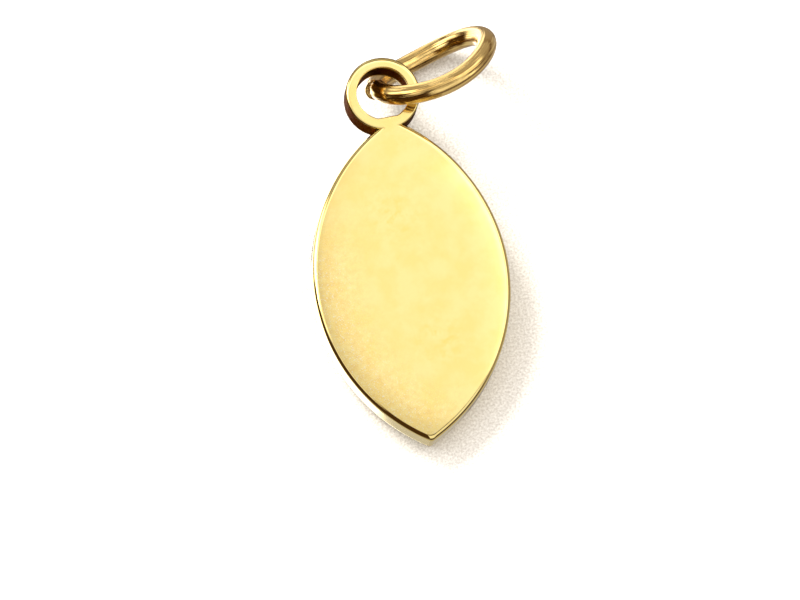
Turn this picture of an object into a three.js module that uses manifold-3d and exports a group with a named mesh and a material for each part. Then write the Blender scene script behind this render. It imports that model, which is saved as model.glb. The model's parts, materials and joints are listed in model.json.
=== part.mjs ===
// Eye pendant: a flat polished charm with the outline of an eye and a hanging loop,
// and the round-wire jump ring that passes through the loop.
// Sizes are in millimetres. +Z is up from the surface that the pendant lies on,
// +Y runs along the eye towards the loop, and the origin is under the middle of the whole.
import * as THREE from 'three';
import { mergeVertices } from 'three/addons/utils/BufferGeometryUtils.js';
import Module from 'manifold-3d';

// Eye plate, between its points and across its middle
const eyeLength = 15.7;
const eyeWidth = 9.3;
const plateThickness = 1.6;
const eyeEdge = 0.25; // radius of the polished-over edge of both faces
const pointRound = 0.06; // radius of the eye's two points, on the flat face

// Jump ring's wire
const wireDiameter = 0.945;

// Hanging loop, in one piece with the plate
const bandWidth = 0.5; // metal between the hole and the loop's outer edge
const loopEdge = 0.16; // radius of the loop's outer edges
const holeRoom = 1.555; // hole's width less the wire's
const loopShift = -0.25; // the loop sits to the left of the eye's axis
const pointCover = 0.06; // metal between the eye's point and the hole's straight edge
const holeFlatDepth = 0.09; // the hole is straight where it meets the eye, this far short of round
const holeFlatTurn = 4.6; // degrees that the straight edge leans, to the left-hand side

// Jump ring
const ringRoom = 2.535; // ring's opening less the plate's thickness and the band's width
const ringOval = 0.07; // how far the ring is bent out of round
const ovalTurn = 153; // degrees from the joint's side to the widest way across
const ringTwist = 0.168; // how far the ring is bent out of flat
const twistTurn = -13;
const jointTurn = 178; // where round the ring its two ends meet
const jointGap = 0.05;
const jointStep = 0.18; // one end stands this far outside the other
const jointReach = 30; // degrees each side over which that step fades

// How the ring lies in the loop, in the plate's own frame
const threadTurn = 166.2; // the place round the ring where its wire crosses the hole
const threadRise = 0.27; // above the middle of the hole, away from the eye
const ringHeading = 16.6;
const ringRise = 9.46;
const ringRoll = 118.6;

// How the plate leans on the surface, propped up by the ring under its loop
const platePitch = 7.18;
const plateRoll = 2.18;

// Fineness of the round stretches, in steps
const eyeSteps = 30;
const pointSteps = 6;
const loopSteps = 48;
const roundSteps = 4;
const ringSteps = 84;
const wireSteps = 20;

const radians = THREE.MathUtils.degToRad;
const wireRadius = wireDiameter / 2;
const holeRadius = (wireDiameter + holeRoom) / 2;
const loopRadius = holeRadius + bandWidth;
const holeFlatReach = holeRadius - holeFlatDepth;
const loopMiddle = new THREE.Vector2(loopShift, eyeLength / 2 + pointCover + holeFlatReach);
const ringRadius = (plateThickness + bandWidth + ringRoom + wireDiameter) / 2;

const wasm = await Module();
wasm.setup();

function solidFrom(geometry) {
  geometry.deleteAttribute('normal');
  geometry.deleteAttribute('uv');
  const merged = mergeVertices(geometry);
  return new wasm.Manifold(new wasm.Mesh({
    numProp: 3,
    vertProperties: new Float32Array(merged.attributes.position.array),
    triVerts: new Uint32Array(merged.index.array),
  }));
}

function geometryFrom(solid) {
  const mesh = solid.getMesh();
  const geometry = new THREE.BufferGeometry();
  geometry.setAttribute('position', new THREE.BufferAttribute(mesh.vertProperties, 3));
  geometry.setIndex(new THREE.BufferAttribute(mesh.triVerts, 1));
  geometry.computeVertexNormals();
  return geometry;
}

// Points along an arc, angles in radians, without the point where the next arc starts
function arc(x, y, radius, start, end, steps) {
  return Array.from({ length: steps }, (_, step) => {
    const angle = start + (end - start) * step / steps;
    return new THREE.Vector2(x + radius * Math.cos(angle), y + radius * Math.sin(angle));
  });
}

// The flat face of the eye: two arcs that meet in rounded points
function eyeFace() {
  const wallRadius = (eyeLength ** 2 + eyeWidth ** 2) / (4 * eyeWidth);
  const faceRadius = wallRadius - eyeEdge;
  const aside = wallRadius - eyeWidth / 2;
  const pointY = Math.sqrt((faceRadius - pointRound) ** 2 - aside ** 2);
  const half = Math.atan2(pointY, aside);
  return new THREE.Shape([
    ...arc(-aside, 0, faceRadius, -half, half, eyeSteps),
    ...arc(0, pointY, pointRound, half, Math.PI - half, pointSteps),
    ...arc(aside, 0, faceRadius, Math.PI - half, Math.PI + half, eyeSteps),
    ...arc(0, -pointY, pointRound, Math.PI + half, 2 * Math.PI - half, pointSteps),
  ]);
}

function loopFace() {
  const radius = loopRadius - loopEdge;
  return new THREE.Shape(arc(loopMiddle.x, loopMiddle.y, radius, 0, 2 * Math.PI, loopSteps));
}

// The hole: round, with a short straight edge on the eye's side
function holeOutline() {
  const half = Math.acos(holeFlatReach / holeRadius);
  const middle = radians(holeFlatTurn - 90);
  const points = arc(
    loopMiddle.x, loopMiddle.y, holeRadius, middle + half, middle - half + 2 * Math.PI, loopSteps,
  );
  points.push(new THREE.Vector2(
    loopMiddle.x + holeRadius * Math.cos(middle - half),
    loopMiddle.y + holeRadius * Math.sin(middle - half),
  ));
  return new THREE.Shape(points);
}

// A face outline made as thick as the plate, its top face at z = 0 and all its edges rounded
function roundedSlab(face, edge) {
  const geometry = new THREE.ExtrudeGeometry(face, {
    depth: plateThickness - 2 * edge,
    bevelThickness: edge,
    bevelSize: edge,
    bevelSegments: roundSteps,
  });
  geometry.translate(0, 0, edge - plateThickness);
  return solidFrom(geometry);
}

function holeCutter() {
  const geometry = new THREE.ExtrudeGeometry(holeOutline(), {
    depth: 3 * plateThickness,
    bevelEnabled: false,
  });
  geometry.translate(0, 0, -2 * plateThickness);
  return solidFrom(geometry);
}

function eyePlateGeometry() {
  const slab = roundedSlab(eyeFace(), eyeEdge).add(roundedSlab(loopFace(), loopEdge));
  return geometryFrom(slab.subtract(holeCutter()));
}

// The middle line of the ring's wire, from one end of the joint round to the other.
// It is a circle, slightly oval, slightly twisted, with one end stepped outside the other.
class BentRing extends THREE.Curve {
  at(angle) {
    const past = THREE.MathUtils.euclideanModulo(angle - radians(jointTurn), 2 * Math.PI);
    const near = Math.min(past, 2 * Math.PI - past) / radians(jointReach);
    const side = past < Math.PI ? 1 : -1;
    const radius = ringRadius
      + ringOval * Math.cos(2 * (angle - radians(ovalTurn)))
      + side * jointStep / 2 * Math.exp(-near * near);
    const lift = -ringTwist * Math.cos(2 * (angle - radians(twistTurn)));
    return new THREE.Vector3(radius * Math.cos(angle), radius * Math.sin(angle), lift);
  }

  getPoint(t, target = new THREE.Vector3()) {
    const gap = jointGap / ringRadius;
    return target.copy(this.at(radians(jointTurn) + gap / 2 + t * (2 * Math.PI - gap)));
  }
}

function jumpRingGeometry() {
  const section = new THREE.Shape(arc(0, 0, wireRadius, 0, 2 * Math.PI, wireSteps));
  return new THREE.ExtrudeGeometry(section, {
    steps: ringSteps,
    extrudePath: new BentRing(),
  });
}

const plateGold = new THREE.MeshStandardMaterial({
  color: '#f3db92',
  metalness: 1,
  roughness: 0.12,
});
const wireGold = new THREE.MeshStandardMaterial({
  color: '#e6bf6c',
  metalness: 1,
  roughness: 0.2,
});

const eyePlate = new THREE.Mesh(eyePlateGeometry(), plateGold);
eyePlate.name = 'eye_plate';

// The wire crosses the hole half way through the plate
const jumpRing = new THREE.Mesh(jumpRingGeometry(), wireGold);
jumpRing.name = 'jump_ring';
jumpRing.rotation.set(radians(ringRoll), radians(-ringRise), radians(ringHeading), 'ZYX');
const threaded = new BentRing().at(radians(threadTurn)).applyEuler(jumpRing.rotation);
jumpRing.position.set(loopMiddle.x, loopMiddle.y + threadRise, -plateThickness / 2).sub(threaded);

const leaning = new THREE.Group();
leaning.rotation.set(radians(platePitch), radians(plateRoll), 0);
leaning.add(eyePlate, jumpRing);

// Set down on the surface, with the middle of its outline over the origin
const pendant = new THREE.Group();
pendant.add(leaning);
pendant.updateMatrixWorld(true);
const extent = new THREE.Box3().setFromObject(leaning, true);
const middle = extent.getCenter(new THREE.Vector3());
leaning.position.set(-middle.x, -middle.y, -extent.min.z);

export default pendant;
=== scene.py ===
# Eye pendant: a polished, gold-plated charm with the outline of an eye, and its jump ring.
# Lengths in the named values are millimetres, unless a comment says metres. Meshes are in metres,
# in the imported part's frame.
import json
import math

import bmesh
import bpy
import numpy as np
from mathutils import Matrix, Vector


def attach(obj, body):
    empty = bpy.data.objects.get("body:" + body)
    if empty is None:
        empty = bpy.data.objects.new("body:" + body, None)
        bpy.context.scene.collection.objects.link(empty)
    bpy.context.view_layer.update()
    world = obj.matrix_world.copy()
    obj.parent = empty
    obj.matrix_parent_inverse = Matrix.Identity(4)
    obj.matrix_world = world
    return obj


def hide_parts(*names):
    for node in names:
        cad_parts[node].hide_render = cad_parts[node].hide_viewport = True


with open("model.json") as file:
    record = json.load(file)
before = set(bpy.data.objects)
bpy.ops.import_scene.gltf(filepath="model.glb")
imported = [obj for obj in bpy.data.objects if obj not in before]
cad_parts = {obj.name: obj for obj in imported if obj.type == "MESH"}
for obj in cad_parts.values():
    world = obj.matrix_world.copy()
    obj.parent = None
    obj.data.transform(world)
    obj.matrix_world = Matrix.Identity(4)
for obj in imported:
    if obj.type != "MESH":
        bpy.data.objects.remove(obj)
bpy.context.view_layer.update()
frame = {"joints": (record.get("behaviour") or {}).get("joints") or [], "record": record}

MM = 0.001

# Eye plate
EYE_LENGTH = 15.7
EYE_WIDTH = 9.3
THICKNESS = 1.6
EYE_EDGE = 0.25
POINT_WALL = 0.29  # radius of the lower point's wall
POINT_FACE = 0.6  # and of its face, which is worn more
SIDE_RADIUS = (EYE_LENGTH**2 + EYE_WIDTH**2) / (4 * EYE_WIDTH)
SIDE_ASIDE = SIDE_RADIUS - EYE_WIDTH / 2  # how far the centre of a side's circle is from the axis

# Polished face: it rolls off over this width along each side, by this much
ROLL_OFF = 1.9
ROLL_DROP = 0.036
ROLL_TOP = 6.6  # it ends this far up the eye, under the loop
ROLL_FADE = 2.0  # and fades out over this length

# Hanging loop
LOOP_X = -0.25
LOOP_Y = 9.07
HOLE_RADIUS = 1.25
LOOP_RADIUS = 1.75
LOOP_EDGE = 0.14
LOOP_WEAR = 0.1  # how much lower the circle of its worn face sits
HOLE_EDGE = 0.05
HOLE_FLAT_REACH = 1.16
HOLE_FLAT_TURN = 4.6
FACING_LEAST = 0.2  # cosine under which a direction doesn't meet the hole's straight edge

# Jump ring
WIRE_RADIUS = 0.4725
RING_RADIUS = 2.79
RING_OVAL = 0.07
OVAL_TURN = 153
RING_TWIST = 0.168
TWIST_TURN = -13
JOINT_TURN = 178
JOINT_GAP = 0.05
JOINT_STEP = 0.18
JOINT_REACH = 30
THREAD_TURN = 166.2
THREAD_RISE = 0.27
RING_HEADING = 16.6
RING_RISE = 9.46
RING_ROLL = 118.6
END_ROUND = 0.06

# Wear of the plate
WALL_FROM = 0.03  # the loop's wall starts this far under the face
WALL_FADE = 0.05
LOOP_MARGIN = 0.12  # and its finish ends this far outside its circle
LOOP_FADE = 0.1
WORN_REACH = 3.0  # how far in from the left edge the face is worn
WORN_TOP = 4.5  # and how far up
WORN_FADE = 4.0
FACE_SKIN = 0.1  # wear stays within this depth of either face
SMUDGES = [(-0.8, 0.6, 3.0), (0.6, -5.5, 2.2)]  # their middles, in the part's frame
SMUDGE_CORE = 0.2
SMUDGE_REACH = 1.7

# Finish of the plate: patterns per millimetre, heights in metres, roughness from least to most
CLOUDS = 0.8
MOTTLES = 2.6
STAINS = 4.0
SPECKS = 14.0
SPECK_HEIGHT = 0.00002
WORN_BUMP = 0.05
FACE_HAZE = (0.06, 0.14)
WALL_HAZE = 0.34

# Finish of the wire, in the same units
STREAK_SQUEEZE = 0.03  # the pattern is read at this share of the way along, which makes it streaks
SWELLS = 3.5
SWELL_HEIGHT = 0.00005
GROOVES = 6.5
GROOVE_HEIGHT = 0.00004
WIRE_HAZE = (0.1, 0.2)

# Tooth of the card that the pendant lies on, per millimetre, and half its side in metres
CARD_TOOTH = 9.0
CARD_HALF = 1.5

# Camera, where the photograph was taken from
CAMERA_PLACE = (-42.37518, -212.09335, 581.84788)
CAMERA_RIGHT = (0.99157328, -0.12712442, 0.02493601)
CAMERA_DOWN = (-0.11090486, -0.93248869, -0.3437513)
CAMERA_LENS = 591.075
SENSOR_WIDTH = 36
CLIP_START = 0.05  # metres
CLIP_END = 10  # metres

# Studio cards: middle and half width in degrees round from +X, lowest and highest in degrees
# above the floor, brightness, and softness of the edges in degrees
STUDIO_CARDS = [
    (15, 36, 24, 62, 1.6, 6),
    (105, 56, -8, 58, 0.5, 8),
    (152, 13, 4, 34, 3.2, 5),
    (165, 25, 34, 66, 1.6, 6),
    (205, 18, 38, 60, 1.0, 6),
    (130, 40, 56, 80, 1.8, 5),
    (300, 38, 18, 60, 0.95, 5),
    (15, 40, -6, 24, 0.45, 6),
    (101, 9, -30, 22, 1.6, 4),
    (137, 37, -100, -22, 2.6, 6),
    (162, 15, 30, 56, 4.5, 4),
    (76, 25, -100, -6, 0.42, 6),
    (208, 36, -100, -34, 0.6, 8),
    (325, 88, -100, -12, 0.55, 6),
]
# Dark gap beside the camera, in the same terms, with the share of light that it takes away
STUDIO_GAP = (300, 34, 56, 66, 0.8, 4)
# Ceiling: its light is the sum of two steps that rise towards +X and +Y, each between two values
# of x + y and from one brightness to another. It ends softly between two heights in degrees
CEILING_STEPS = [(0.09, 0.30, 0.78, 1.2), (0.28, 0.45, 0, 1.1)]
CEILING_EDGE = (56, 68)
ROOM_LIGHT = 0.12  # least light from any side
WARM_LIGHT = (0.05, 0.7)  # light between these turns from wood brown to white

# Soft boxes: degrees round from +X and above the floor, distance and side in metres, watts, tint
SOFT_BOXES = {
    "key": (126, 39, 0.6, 0.25, 6.4, "#fffaf3"),
    "fill": (300, 78, 1.0, 1.6, 9.5, "#fff3e4"),
}

# Fineness of the meshes, in steps
SIDE_STEPS = 96
TIP_STEPS = 24
LOOP_STEPS = 128
JUNCTION_STEPS = 40
JUNCTION_EASE = 8  # power by which the loop's arc fades down the rows of the eye's face
ROUND_STEPS = 10
BAND_STEPS = 6
HOLE_EDGE_STEPS = 5
WALL_SPAN = (0.3, 1.3)  # depths between which a wall has even steps
RIM_WALL_STEPS = 5
HOLE_WALL_STEPS = 4
WIRE_STEPS = 64
RING_STEPS = 360
END_STEPS = 9
TURN_STEP = 1e-4  # radians ahead and back, for the wire's direction
SAME_PLACE = 1e-7  # metres
NO_LENGTH = 1e-8  # metres
PLATE_SHARP = 32  # degrees past which an edge is shaded sharp
WIRE_SHARP = 40


def unit(vector):
    """The vector at length 1."""
    return np.array(vector, float) / np.linalg.norm(vector)


def plate_frame():
    """Across, along and up directions of the plate and the middle of its face, in metres,
    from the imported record's front face and hinge."""
    face = next(m for m in frame["record"]["mounts"] if m["name"] == "front_face")
    up = unit(face["axis"])
    hinge = np.array(frame["joints"][0]["axis"], float)
    along = unit(-hinge + up * (hinge @ up))
    return np.array([np.cross(along, up), along, up]), np.array(face["pos_m"], float)


AXES, FACE_MIDDLE = plate_frame()


def placed(points):
    """Points in the plate's own frame in mm, moved to the part's frame in metres."""
    return points @ AXES * MM + FACE_MIDDLE


def plate_points(made):
    """The vertices of a placed mesh, back in the plate's own frame in mm."""
    there = np.empty(len(made.data.vertices) * 3)
    made.data.vertices.foreach_get("co", there)
    return (there.reshape(-1, 3) - FACE_MIDDLE) @ AXES.T / MM


def rim_inset(depth, edge):
    """How far a rim with rounded edges stands inside its widest outline, at a depth under the
    face: edge - sqrt(edge^2 - (edge - depth)^2) next to either face, and 0 between."""
    near = np.minimum(depth, THICKNESS - depth)
    rise = np.clip(edge - near, 0, edge)
    return edge - np.sqrt(np.maximum(edge**2 - rise**2, 0))


def rim_depths():
    """Depths of the rim's levels: cosine steps over the rounded edges, both ways, and even steps
    down the wall between them."""
    turn = np.linspace(0, np.pi / 2, ROUND_STEPS + 1)
    top = np.concatenate([edge * (1 - np.cos(turn)) for edge in (EYE_EDGE, LOOP_EDGE)]
                         + [edge * (1 - np.sin(turn)) for edge in (EYE_EDGE, LOOP_EDGE)])
    both = np.concatenate([top, THICKNESS - top, np.linspace(*WALL_SPAN, RIM_WALL_STEPS)])
    return np.unique(both.round(5))


DEPTHS = rim_depths()
EYE_INSET = rim_inset(DEPTHS, EYE_EDGE)
LOOP_INSET = rim_inset(DEPTHS, LOOP_EDGE)
HOOP = LOOP_RADIUS - LOOP_INSET  # radius of the loop's circle at each depth


def loop_heights():
    """Height of the loop's circle at each depth: the face is worn most at its top, so that its
    circle sits lower than the wall's by LOOP_WEAR."""
    near = np.minimum(DEPTHS, THICKNESS - DEPTHS)
    return LOOP_Y - LOOP_WEAR * LOOP_INSET / LOOP_EDGE * (near == DEPTHS)


HOOP_Y = loop_heights()


def circle_meeting(x0, y0, r0, x1, y1, r1, side):
    """Where two circles meet, on the given side of the line between their middles."""
    dx, dy = x1 - x0, y1 - y0
    apart = np.hypot(dx, dy)
    ahead = (r0**2 - r1**2 + apart**2) / (2 * apart)
    aside = side * np.sqrt(r0**2 - ahead**2)
    return (x0 + (dx * ahead - dy * aside) / apart, y0 + (dy * ahead + dx * aside) / apart)


def sweep(x, y, radius, start, end, steps):
    """Arc on a grid of levels and steps: centre + radius (cos a, sin a), while a goes evenly from
    start to end. The centre's y, the radius and both angles may differ by level."""
    share = np.linspace(0, 1, steps, endpoint=False)[None, :]
    y, start, end, radius = (np.broadcast_to(v, DEPTHS.shape)[:, None]
                             for v in (y, start, end, radius))
    angle = start + (end - start) * share
    return x + radius * np.cos(angle), y + radius * np.sin(angle)


def crown(x, y):
    """How far the polished face has dropped, in mm: for each side ROLL_DROP times the cube of
    1 - distance from the side / ROLL_OFF, eased out under the loop."""
    drop = np.zeros_like(x)
    for side in (1, -1):
        inside = SIDE_RADIUS - np.hypot(x * side + SIDE_ASIDE, y)
        drop += ROLL_DROP * np.maximum(1 - inside / ROLL_OFF, 0) ** 3
    fade = np.clip((ROLL_TOP - y) / ROLL_FADE, 0, 1)
    return drop * fade * fade * (3 - 2 * fade)


def merged_mesh(name, vertices, faces, smooth_angle):
    """Mesh object from arrays: doubles merged, shaded smooth, sharp past the given angle."""
    mesh = bpy.data.meshes.new(name)
    mesh.from_pydata(vertices.tolist(), [], faces)
    mesh.validate()
    mesh.update()
    made = bpy.data.objects.new(name, mesh)
    bpy.context.scene.collection.objects.link(made)
    work = bmesh.new()
    work.from_mesh(mesh)
    bmesh.ops.remove_doubles(work, verts=work.verts, dist=SAME_PLACE)
    bmesh.ops.dissolve_degenerate(work, edges=work.edges, dist=NO_LENGTH)
    bmesh.ops.recalc_face_normals(work, faces=work.faces)
    work.to_mesh(mesh)
    work.free()
    mesh.polygons.foreach_set("use_smooth", np.ones(len(mesh.polygons), bool))
    mesh.set_sharp_from_angle(angle=math.radians(smooth_angle))
    mesh.update()
    return made


def grid_faces(rows, columns, first, around):
    """Quads of a grid of vertices numbered row by row; around joins the last column to the first."""
    row = np.arange(rows - 1)[:, None]
    column = np.arange(columns if around else columns - 1)[None, :]
    after = (column + 1) % columns
    a = first + row * columns + column
    b = first + row * columns + after
    quads = np.stack([a, b, b + columns, a + columns], axis=-1)
    return quads.reshape(-1, 4).tolist()


def plate_outline():
    """Rim of eye and loop together on a grid: level by level down the thickness, and round from
    the right-hand corner under the loop, down the right side, round the point, up the left side
    and over the loop. Each side is an arc of a circle, its radius less the level's inset."""
    side = SIDE_RADIUS - EYE_INSET
    bend = POINT_WALL + (POINT_FACE - POINT_WALL) * EYE_INSET / EYE_EDGE
    point_y = np.sqrt((side - bend) ** 2 - SIDE_ASIDE**2)
    half = np.arctan2(point_y, SIDE_ASIDE)
    right_x, right_y = circle_meeting(-SIDE_ASIDE, 0, side, LOOP_X, HOOP_Y, HOOP, -1)
    left_x, left_y = circle_meeting(SIDE_ASIDE, 0, side, LOOP_X, HOOP_Y, HOOP, 1)
    right_start = np.arctan2(right_y, right_x + SIDE_ASIDE)
    left_end = np.pi - np.arctan2(left_y, SIDE_ASIDE - left_x)
    hoop_left = np.arctan2(left_y - HOOP_Y, left_x - LOOP_X)
    hoop_right = np.arctan2(right_y - HOOP_Y, right_x - LOOP_X)
    parts = [
        sweep(-SIDE_ASIDE, 0, side, right_start, -half, SIDE_STEPS),
        sweep(0, -point_y, bend, -half, half - np.pi, TIP_STEPS),
        sweep(SIDE_ASIDE, 0, side, half - np.pi, left_end - 2 * np.pi, SIDE_STEPS),
        sweep(LOOP_X, HOOP_Y, HOOP, hoop_left, hoop_right - 2 * np.pi, LOOP_STEPS),
    ]
    x = np.concatenate([p[0] for p in parts], axis=1)
    y = np.concatenate([p[1] for p in parts], axis=1)
    return x, y, hoop_right, hoop_left


def face_rows(x, y, level, start, end):
    """The eye's face: rows straight across between its two sides. The top row is the loop's arc,
    and its difference from the straight chord fades with a high power of the row's share."""
    side_count = SIDE_STEPS + TIP_STEPS // 2
    outline = np.stack([x[level], y[level]], axis=-1)
    right = outline[:side_count + 1]
    left = outline[2 * side_count - np.arange(side_count + 1)]
    share = np.linspace(0, 1, JUNCTION_STEPS + 1)
    turn = start + (end - start) * share
    arc = np.stack([LOOP_X + HOOP[level] * np.cos(turn), HOOP_Y[level] + HOOP[level] * np.sin(turn)],
                   axis=-1)
    chord = right[0] + (left[0] - right[0]) * share[:, None]
    ease = np.linspace(1, 0, side_count + 1)[:, None, None] ** JUNCTION_EASE
    rows = right[:, None] + (left - right)[:, None] * share[None, :, None]
    rows = rows + ease * (arc - chord)[None]
    return rows[..., 0], rows[..., 1]


def loop_turns(start, end):
    """Angles round the loop: over its free side, then across the side that meets the eye."""
    return np.concatenate([
        np.linspace(end, start - 2 * np.pi, LOOP_STEPS, endpoint=False),
        np.linspace(start, end, JUNCTION_STEPS, endpoint=False),
    ])


def hole_reach(angle, edge):
    """Distance from the loop's middle to its hole: round, with one short straight edge."""
    flat = math.radians(HOLE_FLAT_TURN - 90)
    facing = np.cos(angle - flat)
    straight = (HOLE_FLAT_REACH + edge) / np.maximum(facing, FACING_LEAST)
    return np.minimum(HOLE_RADIUS + edge, straight)


def loop_rays(level, turn):
    """The loop's face: centre + reach (cos a, sin a), while the centre and the reach go evenly
    from those of the worn circle in to those of the hole's edge."""
    inner = hole_reach(turn, HOLE_EDGE)
    ray = np.linspace(0, 1, BAND_STEPS + 1)[:, None]
    reach = HOOP[level] + (inner - HOOP[level])[None] * ray
    middle_y = HOOP_Y[level] + (LOOP_Y - HOOP_Y[level]) * ray
    return LOOP_X + reach * np.cos(turn), middle_y + reach * np.sin(turn)


def hole_wall(turn):
    """The hole's wall: centre + reach (cos a, sin a), level by level, the reach widened by a
    quarter circle at each face."""
    quarter = np.linspace(0, np.pi / 2, HOLE_EDGE_STEPS)
    level_depths = np.concatenate([HOLE_EDGE * (1 - np.cos(quarter)),
                                   np.linspace(*WALL_SPAN, HOLE_WALL_STEPS),
                                   THICKNESS - HOLE_EDGE * (1 - np.cos(quarter[::-1]))])
    widening = np.concatenate([HOLE_EDGE * (1 - np.sin(quarter)), np.zeros(HOLE_WALL_STEPS),
                               HOLE_EDGE * (1 - np.sin(quarter[::-1]))])
    reach = hole_reach(turn[None, :], widening[:, None])
    return LOOP_X + reach * np.cos(turn), LOOP_Y + reach * np.sin(turn), level_depths[:, None]


def mark_wear(plate):
    """Attributes of the plate's skin: "cut_wall" is 1 on the walls of the loop and its hole,
    "worn_edge" rises to 1 at the left edge of the face's lower half."""
    local = plate_points(plate)
    from_loop = np.hypot(local[:, 0] - LOOP_X, local[:, 1] - LOOP_Y)
    under = np.minimum(-local[:, 2], THICKNESS + local[:, 2])
    deep = np.clip((under - WALL_FROM) / WALL_FADE, 0, 1)
    near = np.clip((LOOP_RADIUS + LOOP_MARGIN - from_loop) / LOOP_FADE, 0, 1)
    inside = SIDE_RADIUS - np.hypot(SIDE_ASIDE - local[:, 0], local[:, 1])
    worn = np.clip(1 - inside / WORN_REACH, 0, 1) * np.clip((WORN_TOP - local[:, 1]) / WORN_FADE, 0, 1)
    worn *= np.clip(1 - under / FACE_SKIN, 0, 1)
    for name, value in (("cut_wall", deep * near), ("worn_edge", worn)):
        plate.data.attributes.new(name, "FLOAT", "POINT").data.foreach_set(
            "value", value.astype(np.float32))


def eye_plate():
    """Closed skin of the plate: the rim, then the eye's face and the loop's face in front and again
    on the back, and the hole's wall."""
    x, y, hoop_right, hoop_left = plate_outline()
    vertices, faces = [], []

    def add_grid(gx, gy, depth, around):
        """Adds a grid at its depth, with the thickness shrunk by the crown of both faces."""
        rows, columns = gx.shape
        first = sum(len(v) for v in vertices)
        depth = np.broadcast_to(depth, gx.shape)
        middle = THICKNESS / 2
        gz = -middle + (middle - depth) * (1 - crown(gx, gy) / middle)
        vertices.append(np.stack([gx, gy, gz], axis=-1).reshape(-1, 3))
        faces.extend(grid_faces(rows, columns, first, around))

    add_grid(x, y, DEPTHS[:, None], True)
    for level in (0, -1):
        start, end = hoop_right[level], hoop_left[level]
        add_grid(*face_rows(x, y, level, start, end), DEPTHS[level], False)
        turn = loop_turns(start, end)
        add_grid(*loop_rays(level, turn), DEPTHS[level], True)
    add_grid(*hole_wall(turn), True)
    made = merged_mesh("polished_eye_plate", placed(np.concatenate(vertices)), faces, PLATE_SHARP)
    mark_wear(made)
    return made


def ring_line(turn):
    """Middle line of the ring's wire at an angle round it, in the ring's own frame:
    a circle, slightly oval, slightly twisted, with one end stepped outside the other."""
    past = np.mod(turn - math.radians(JOINT_TURN), 2 * np.pi)
    near = np.minimum(past, 2 * np.pi - past) / math.radians(JOINT_REACH)
    step = np.where(past < np.pi, 1, -1) * JOINT_STEP / 2 * np.exp(-near**2)
    radius = RING_RADIUS + RING_OVAL * np.cos(2 * (turn - math.radians(OVAL_TURN))) + step
    lift = -RING_TWIST * np.cos(2 * (turn - math.radians(TWIST_TURN)))
    return np.stack([radius * np.cos(turn), radius * np.sin(turn), lift], axis=-1)


def ring_place():
    """How the ring lies in the loop: the turn of its frame, and its middle, in the plate's frame."""
    heading, rise, roll = (math.radians(v) for v in (RING_HEADING, -RING_RISE, RING_ROLL))
    turned = np.array(Matrix.Rotation(heading, 3, "Z") @ Matrix.Rotation(rise, 3, "Y")
                      @ Matrix.Rotation(roll, 3, "X"))
    threaded = turned @ ring_line(np.array([math.radians(THREAD_TURN)]))[0]
    return turned, np.array([LOOP_X, LOOP_Y + THREAD_RISE, -THICKNESS / 2]) - threaded


def wire_skin():
    """Wire carried along the ring's line: point = line + radius (cos a * outward + sin a * up).
    At each end the radius runs through a quarter circle to the flat end and in to its middle."""
    quarter = np.linspace(0, np.pi / 2, END_STEPS)
    in_from_end = np.concatenate([[0, 0], END_ROUND * (1 - np.cos(quarter))])
    radius = np.concatenate([[0, 0.5 * WIRE_RADIUS],
                             WIRE_RADIUS - END_ROUND + END_ROUND * np.sin(quarter)])
    gap = JOINT_GAP / RING_RADIUS
    start = math.radians(JOINT_TURN) + gap / 2
    length = 2 * np.pi - gap
    ends = in_from_end / RING_RADIUS
    body = np.linspace(ends[-1], length - ends[-1], RING_STEPS)[1:-1]
    along = start + np.concatenate([ends, body, (length - ends)[::-1]])
    radius = np.concatenate([radius, np.full(len(body), WIRE_RADIUS), radius[::-1]])
    line = ring_line(along)
    ahead = ring_line(np.clip(along + TURN_STEP, start, start + length)) - ring_line(
        np.clip(along - TURN_STEP, start, start + length))
    ahead /= np.linalg.norm(ahead, axis=1, keepdims=True)
    up = np.array([0, 0, 1.0]) - ahead * ahead[:, 2:]
    up /= np.linalg.norm(up, axis=1, keepdims=True)
    out = np.cross(ahead, up)
    turn = np.linspace(0, 2 * np.pi, WIRE_STEPS, endpoint=False)
    around = np.cos(turn)[None, :, None] * out[:, None] + np.sin(turn)[None, :, None] * up[:, None]
    points = (line[:, None] + radius[:, None, None] * around).reshape(-1, 3)
    return points, grid_faces(len(along), WIRE_STEPS, 0, True)


def mark_wire(ring, turned, place):
    """Attribute "wire_mm": the straightened-out wire, in mm along it and across it both ways."""
    local = (plate_points(ring) - place) @ turned
    angle = np.arctan2(local[:, 1], local[:, 0])
    offset = local - ring_line(angle)
    outward = np.stack([np.cos(angle), np.sin(angle), np.zeros_like(angle)], axis=-1)
    past = np.mod(angle - math.radians(JOINT_TURN), 2 * np.pi) * RING_RADIUS
    wire = np.stack([past, (offset * outward).sum(1), offset[:, 2]], axis=-1).astype(np.float32)
    ring.data.attributes.new("wire_mm", "FLOAT_VECTOR", "POINT").data.foreach_set(
        "vector", wire.ravel())


def jump_ring():
    """The ring's wire, laid in the loop."""
    points, faces = wire_skin()
    turned, place = ring_place()
    made = merged_mesh("wire_jump_ring", placed(points @ turned.T + place), faces, WIRE_SHARP)
    mark_wire(made, turned, place)
    return made


def colour(code):
    """Linear colour from an sRGB hex code."""
    parts = [int(code[i:i + 2], 16) / 255 for i in (1, 3, 5)]
    return [p / 12.92 if p <= 0.04045 else ((p + 0.055) / 1.055) ** 2.4 for p in parts] + [1.0]


def add_node(tree, kind, inputs=None, output=0, **settings):
    """A node with its settings and links; returns one of its outputs. Inputs are values, or other
    nodes' outputs to link."""
    made = tree.nodes.new(kind)
    for name, value in settings.items():
        setattr(made, name, value)
    for name, value in (inputs or {}).items():
        if isinstance(value, bpy.types.NodeSocket):
            tree.links.new(value, made.inputs[name])
        else:
            made.inputs[name].default_value = value
    return made.outputs[output] if made.outputs else made


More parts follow.
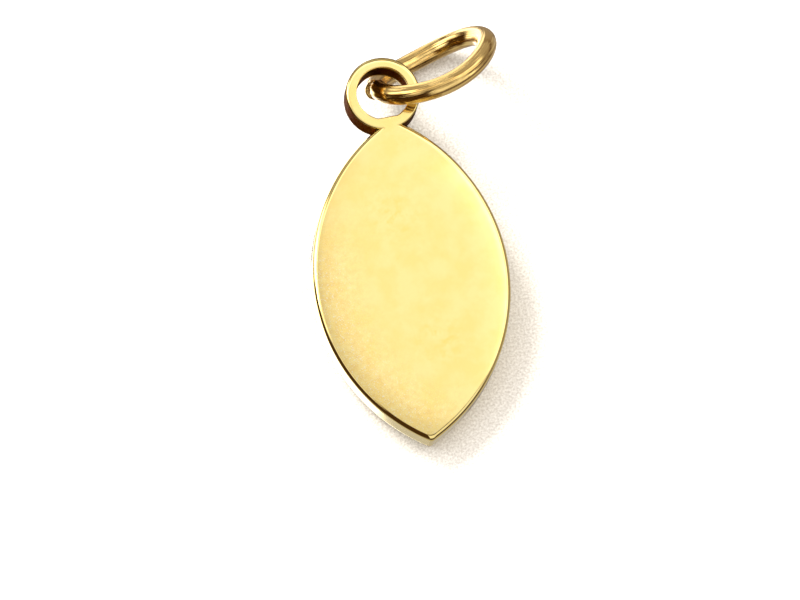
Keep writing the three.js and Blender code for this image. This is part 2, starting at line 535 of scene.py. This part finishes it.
def new_material(name):
    """A material without nodes, and its node tree."""
    made = bpy.data.materials.new(name)
    made.use_nodes = True
    made.node_tree.nodes.clear()
    return made, made.node_tree


def millimetres(tree):
    """Object coordinates in millimetres."""
    place = add_node(tree, "ShaderNodeTexCoord", output="Object")
    return add_node(tree, "ShaderNodeVectorMath", {0: place, 3: 1 / MM}, operation="SCALE")


def smudge_cover(tree, mm):
    """Where the two smudges are: 1 at the middle of each, 0 past its reach."""
    cover = 0.0
    for spot in SMUDGES:
        away = add_node(tree, "ShaderNodeVectorMath", {0: mm, 1: spot}, "Value", operation="DISTANCE")
        near = add_node(tree, "ShaderNodeMapRange",
                        {0: away, 1: SMUDGE_CORE, 2: SMUDGE_REACH, 3: 1.0, 4: 0.0})
        cover = add_node(tree, "ShaderNodeMath", {0: cover, 1: near}, operation="MAXIMUM")
    return cover


def plated_gold(tree, mm, worn, cloud, specks):
    """Colour of the polished gold: clouds of two near golds, smudges, and by the worn edge warm
    mottles and pale specks."""
    broken = add_node(tree, "ShaderNodeTexNoise",
                      {"Vector": mm, "Scale": MOTTLES, "Detail": 5.0, "Roughness": 0.6})
    warm = add_node(tree, "ShaderNodeTexNoise",
                    {"Vector": mm, "Scale": STAINS, "Detail": 4.0, "Roughness": 0.6})
    worn_most = add_node(tree, "ShaderNodeMath", {0: worn, 1: worn}, operation="MULTIPLY")
    layers = [
        (smudge_cover(tree, mm), broken, 0.46, 0.66, "#f7dc7c"),
        (worn, warm, 0.4, 0.7, "#f4cd7c"),
        (worn_most, specks, 0.6, 0.66, "#fffbe8"),
    ]
    share = add_node(tree, "ShaderNodeMapRange", {0: cloud, 1: 0.4, 2: 0.62})
    gold = add_node(tree, "ShaderNodeMix", {0: share, 6: colour("#ffe79a"), 7: colour("#ffe18c")}, 2,
                    data_type="RGBA")
    for place, pattern, low, high, tint in layers:
        share = add_node(tree, "ShaderNodeMapRange", {0: pattern, 1: low, 2: high})
        share = add_node(tree, "ShaderNodeMath", {0: place, 1: share}, operation="MULTIPLY")
        gold = add_node(tree, "ShaderNodeMix", {0: share, 6: gold, 7: colour(tint)}, 2,
                        data_type="RGBA")
    return gold


def plated_face():
    """Gold plating on a stamped and tumble-polished brass blank. Plating keeps the polish, so the eye
    sees a mirror, with soft smudges and, next to the worn left edge, pinhead specks where the blank
    was not polished out. The walls of the loop and its hole were cut and not polished, so they are
    grainy and dull. Their dark brown colour is partly the cut metal and partly painted shade of the
    hole and of the wall under the ring."""
    made, tree = new_material("gold_plated_polished_brass")
    mm = millimetres(tree)
    cut = add_node(tree, "ShaderNodeAttribute", output="Fac", attribute_name="cut_wall")
    worn = add_node(tree, "ShaderNodeAttribute", output="Fac", attribute_name="worn_edge")
    cloud = add_node(tree, "ShaderNodeTexNoise",
                     {"Vector": mm, "Scale": CLOUDS, "Detail": 5.0, "Roughness": 0.6})
    # Real pinholes are finer than a pixel: they are drawn about 0.07 mm wide, as coarse as shows
    specks = add_node(tree, "ShaderNodeTexNoise",
                      {"Vector": mm, "Scale": SPECKS, "Detail": 1.0, "Roughness": 0.6})
    # Dark brown to tan of the cut walls, varied by the specks: partly the dull cut metal, partly
    # painted shade of the hole and under the ring
    shaded_cut_gold = add_node(tree, "ShaderNodeMix",
                        {0: specks, 6: colour("#4c3812"), 7: colour("#957433")}, 2, data_type="RGBA")
    skin = add_node(tree, "ShaderNodeMix",
                    {0: cut, 6: plated_gold(tree, mm, worn, cloud, specks), 7: shaded_cut_gold}, 2,
                    data_type="RGBA")
    glancing = add_node(tree, "ShaderNodeMix",
                        {0: cut, 6: colour("#ffffff"), 7: shaded_cut_gold}, 2, data_type="RGBA")
    haze = add_node(tree, "ShaderNodeMapRange",
                    {0: cloud, 1: 0.35, 2: 0.75, 3: FACE_HAZE[0], 4: FACE_HAZE[1]})
    dull = add_node(tree, "ShaderNodeMix", {0: cut, 2: haze, 3: WALL_HAZE})
    faint = add_node(tree, "ShaderNodeMath", {0: worn, 1: WORN_BUMP}, operation="MULTIPLY")
    tooth = add_node(tree, "ShaderNodeMix", {0: cut, 2: faint, 3: 1.0})
    bump = add_node(tree, "ShaderNodeBump",
                    {"Strength": tooth, "Distance": SPECK_HEIGHT, "Height": specks})
    shader = add_node(tree, "ShaderNodeBsdfPrincipled",
                      {"Base Color": skin, "Metallic": 1.0, "Roughness": dull,
                       "Specular Tint": glancing, "Normal": bump})
    add_node(tree, "ShaderNodeOutputMaterial", {"Surface": shader})
    return made


def drawn_wire():
    """Gold plating on drawn brass wire, in a warmer gold than the plate's. Drawing leaves fine grooves
    along the wire, which bend its reflections, so the eye sees long streaks that follow it. The darker
    streaks in its colour are painted reflection. Real grooves are a few hundredths of a millimetre
    apart: they are drawn about 0.15 mm apart, as coarse as shows."""
    made, tree = new_material("gold_plated_drawn_wire")
    wire = add_node(tree, "ShaderNodeAttribute", output="Vector", attribute_name="wire_mm")
    stretched = add_node(tree, "ShaderNodeVectorMath", {0: wire, 1: (STREAK_SQUEEZE, 1.0, 1.0)},
                         operation="MULTIPLY")
    broad = add_node(tree, "ShaderNodeTexNoise",
                     {"Vector": stretched, "Scale": SWELLS, "Detail": 1.0, "Roughness": 0.5})
    fine = add_node(tree, "ShaderNodeTexNoise",
                    {"Vector": stretched, "Scale": GROOVES, "Detail": 3.0, "Roughness": 0.6})
    # Painted reflection streaks: the colour turns darker brown along the groove pattern, standing in
    # for the streaked surroundings that the wire mirrors
    line = add_node(tree, "ShaderNodeMapRange", {0: fine, 1: 0.46, 2: 0.66})
    tint = add_node(tree, "ShaderNodeMix", {0: line, 6: colour("#ffd98a"), 7: colour("#a47a36")}, 2,
                    data_type="RGBA")
    dull = add_node(tree, "ShaderNodeMapRange",
                    {0: broad, 1: 0.3, 2: 0.7, 3: WIRE_HAZE[0], 4: WIRE_HAZE[1]})
    swell = add_node(tree, "ShaderNodeBump",
                     {"Strength": 1.0, "Distance": SWELL_HEIGHT, "Height": broad})
    groove = add_node(tree, "ShaderNodeBump",
                      {"Strength": 1.0, "Distance": GROOVE_HEIGHT, "Height": fine, "Normal": swell})
    shader = add_node(tree, "ShaderNodeBsdfPrincipled",
                      {"Base Color": tint, "Metallic": 1.0, "Roughness": dull, "Normal": groove})
    add_node(tree, "ShaderNodeOutputMaterial", {"Surface": shader})
    return made


def white_card():
    """Matt white card, pressed from pulp: the eye sees a fine tooth in its shadows. The tooth is
    drawn about 0.1 mm wide, as coarse as shows."""
    made, tree = new_material("matt_white_card")
    tooth = add_node(tree, "ShaderNodeTexNoise",
                     {"Vector": millimetres(tree), "Scale": CARD_TOOTH, "Detail": 3.0,
                      "Roughness": 0.7})
    grain = add_node(tree, "ShaderNodeMapRange", {0: tooth, 1: 0.35, 2: 0.65})
    shade = add_node(tree, "ShaderNodeMix",
                     {0: grain, 6: colour("#c4c0ba"), 7: colour("#edece9")}, 2, data_type="RGBA")
    shader = add_node(tree, "ShaderNodeBsdfPrincipled",
                      {"Base Color": shade, "Roughness": 0.9, "Specular IOR Level": 0.1})
    add_node(tree, "ShaderNodeOutputMaterial", {"Surface": shader})
    return made


def studio_card(tree, turn, height, middle, half_width, low, high, strength, soft):
    """Brightness of one card by direction: it eases off at all four edges."""
    aside = add_node(tree, "ShaderNodeMath", {0: turn, 1: middle}, operation="SUBTRACT")
    aside = add_node(tree, "ShaderNodeMath", {0: aside, 1: 180, 2: -180}, operation="WRAP")
    aside = add_node(tree, "ShaderNodeMath", {0: aside}, operation="ABSOLUTE")
    edges = [
        (aside, half_width - soft, half_width + soft, strength, 0),
        (height, low - soft, low + soft, 0, 1),
        (height, high - soft, high + soft, 1, 0),
    ]
    wide, foot, head = (add_node(tree, "ShaderNodeMapRange", dict(enumerate(edge)),
                                 interpolation_type="SMOOTHSTEP") for edge in edges)
    tall = add_node(tree, "ShaderNodeMath", {0: foot, 1: head}, operation="MULTIPLY")
    return add_node(tree, "ShaderNodeMath", {0: wide, 1: tall}, operation="MULTIPLY")


def studio_light():
    """What the polished metal mirrors, by direction: a ceiling that brightens to the right, soft
    white cards round the room with brown dimness between them, and under the horizon the white
    and shaded parts of the ground, which the metal doesn't mirror itself."""
    world = bpy.data.worlds.new("studio")
    bpy.context.scene.world = world
    world.use_nodes = True
    tree = world.node_tree
    tree.nodes.clear()
    toward = add_node(tree, "ShaderNodeTexCoord", output="Generated")
    x, y, z = add_node(tree, "ShaderNodeSeparateXYZ", {0: toward}).node.outputs
    turn = add_node(tree, "ShaderNodeMath", {0: y, 1: x}, operation="ARCTAN2")
    turn = add_node(tree, "ShaderNodeMath", {0: turn}, operation="DEGREES")
    height = add_node(tree, "ShaderNodeMath", {0: z}, operation="ARCSINE")
    height = add_node(tree, "ShaderNodeMath", {0: height}, operation="DEGREES")

    rightward = add_node(tree, "ShaderNodeMath", {0: x, 1: y}, operation="ADD")
    first, second = (add_node(tree, "ShaderNodeMapRange", dict(enumerate((rightward, *step))),
                              interpolation_type="SMOOTHSTEP") for step in CEILING_STEPS)
    light = add_node(tree, "ShaderNodeMath", {0: first, 1: second}, operation="ADD")
    edge = add_node(tree, "ShaderNodeMapRange",
                    {0: height, 1: CEILING_EDGE[0], 2: CEILING_EDGE[1]},
                    interpolation_type="SMOOTHSTEP")
    light = add_node(tree, "ShaderNodeMath", {0: light, 1: edge}, operation="MULTIPLY")
    for shape in STUDIO_CARDS:
        card = studio_card(tree, turn, height, *shape)
        light = add_node(tree, "ShaderNodeMath", {0: light, 1: card}, operation="MAXIMUM")
    gap = studio_card(tree, turn, height, *STUDIO_GAP)
    left = add_node(tree, "ShaderNodeMath", {0: 1, 1: gap}, operation="SUBTRACT")
    light = add_node(tree, "ShaderNodeMath", {0: light, 1: left}, operation="MULTIPLY")
    light = add_node(tree, "ShaderNodeMath", {0: light, 1: ROOM_LIGHT}, operation="MAXIMUM")
    whiteness = add_node(tree, "ShaderNodeMapRange",
                         {0: light, 1: WARM_LIGHT[0], 2: WARM_LIGHT[1]},
                         interpolation_type="SMOOTHSTEP")
    tint = add_node(tree, "ShaderNodeMix",
                    {0: whiteness, 6: colour("#b5803f"), 7: colour("#ffffff")}, 2, data_type="RGBA")
    back = add_node(tree, "ShaderNodeBackground", {0: tint, 1: light})
    add_node(tree, "ShaderNodeOutputWorld", {0: back})


def soft_box(name, turn, height, away, side, power, tint):
    """A square soft light aimed at the pendant. The metal doesn't mirror it: the studio's cards
    stand for what is mirrored."""
    data = bpy.data.lights.new(name, "AREA")
    data.shape = "RECTANGLE"
    data.size, data.size_y = side, side
    data.energy = power
    data.color = colour(tint)[:3]
    made = bpy.data.objects.new(name, data)
    turn, height = math.radians(turn), math.radians(height)
    toward = Vector((math.cos(height) * math.cos(turn), math.cos(height) * math.sin(turn),
                     math.sin(height)))
    made.location = toward * away
    made.rotation_mode = "QUATERNION"
    made.rotation_quaternion = toward.to_track_quat("Z", "Y")
    made.visible_glossy = False
    bpy.context.scene.collection.objects.link(made)


def photo_camera():
    """Camera at the photograph's place, turned by its measured right and down directions."""
    data = bpy.data.cameras.new("camera")
    data.lens = CAMERA_LENS
    data.sensor_width = SENSOR_WIDTH
    data.clip_start, data.clip_end = CLIP_START, CLIP_END
    made = bpy.data.objects.new("camera", data)
    right, down = Vector(CAMERA_RIGHT).normalized(), Vector(CAMERA_DOWN).normalized()
    back = right.cross(-down)
    turned = Matrix((right, -down, back)).transposed().to_4x4()
    made.matrix_world = Matrix.Translation(Vector(CAMERA_PLACE) * MM) @ turned
    bpy.context.scene.collection.objects.link(made)
    bpy.context.scene.camera = made


def floor():
    """Flat sheet of card, one quad at height 0, where the lowest points of the pendant rest."""
    mesh = bpy.data.meshes.new("white_card")
    corners = [(-CARD_HALF, -CARD_HALF, 0), (CARD_HALF, -CARD_HALF, 0),
               (CARD_HALF, CARD_HALF, 0), (-CARD_HALF, CARD_HALF, 0)]
    mesh.from_pydata(corners, [], [(0, 1, 2, 3)])
    made = bpy.data.objects.new("white_card", mesh)
    bpy.context.scene.collection.objects.link(made)
    mesh.materials.append(white_card())
    made.visible_glossy = False


plate = eye_plate()
plate.data.materials.append(plated_face())
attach(plate, "plate")
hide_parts("eye_plate")

ring = jump_ring()
ring.data.materials.append(drawn_wire())
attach(ring, "ring")
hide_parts("jump_ring")

floor()
studio_light()
for box_name, settings in SOFT_BOXES.items():
    soft_box(box_name, *settings)
photo_camera()
bpy.context.scene.view_settings.view_transform = "Standard"
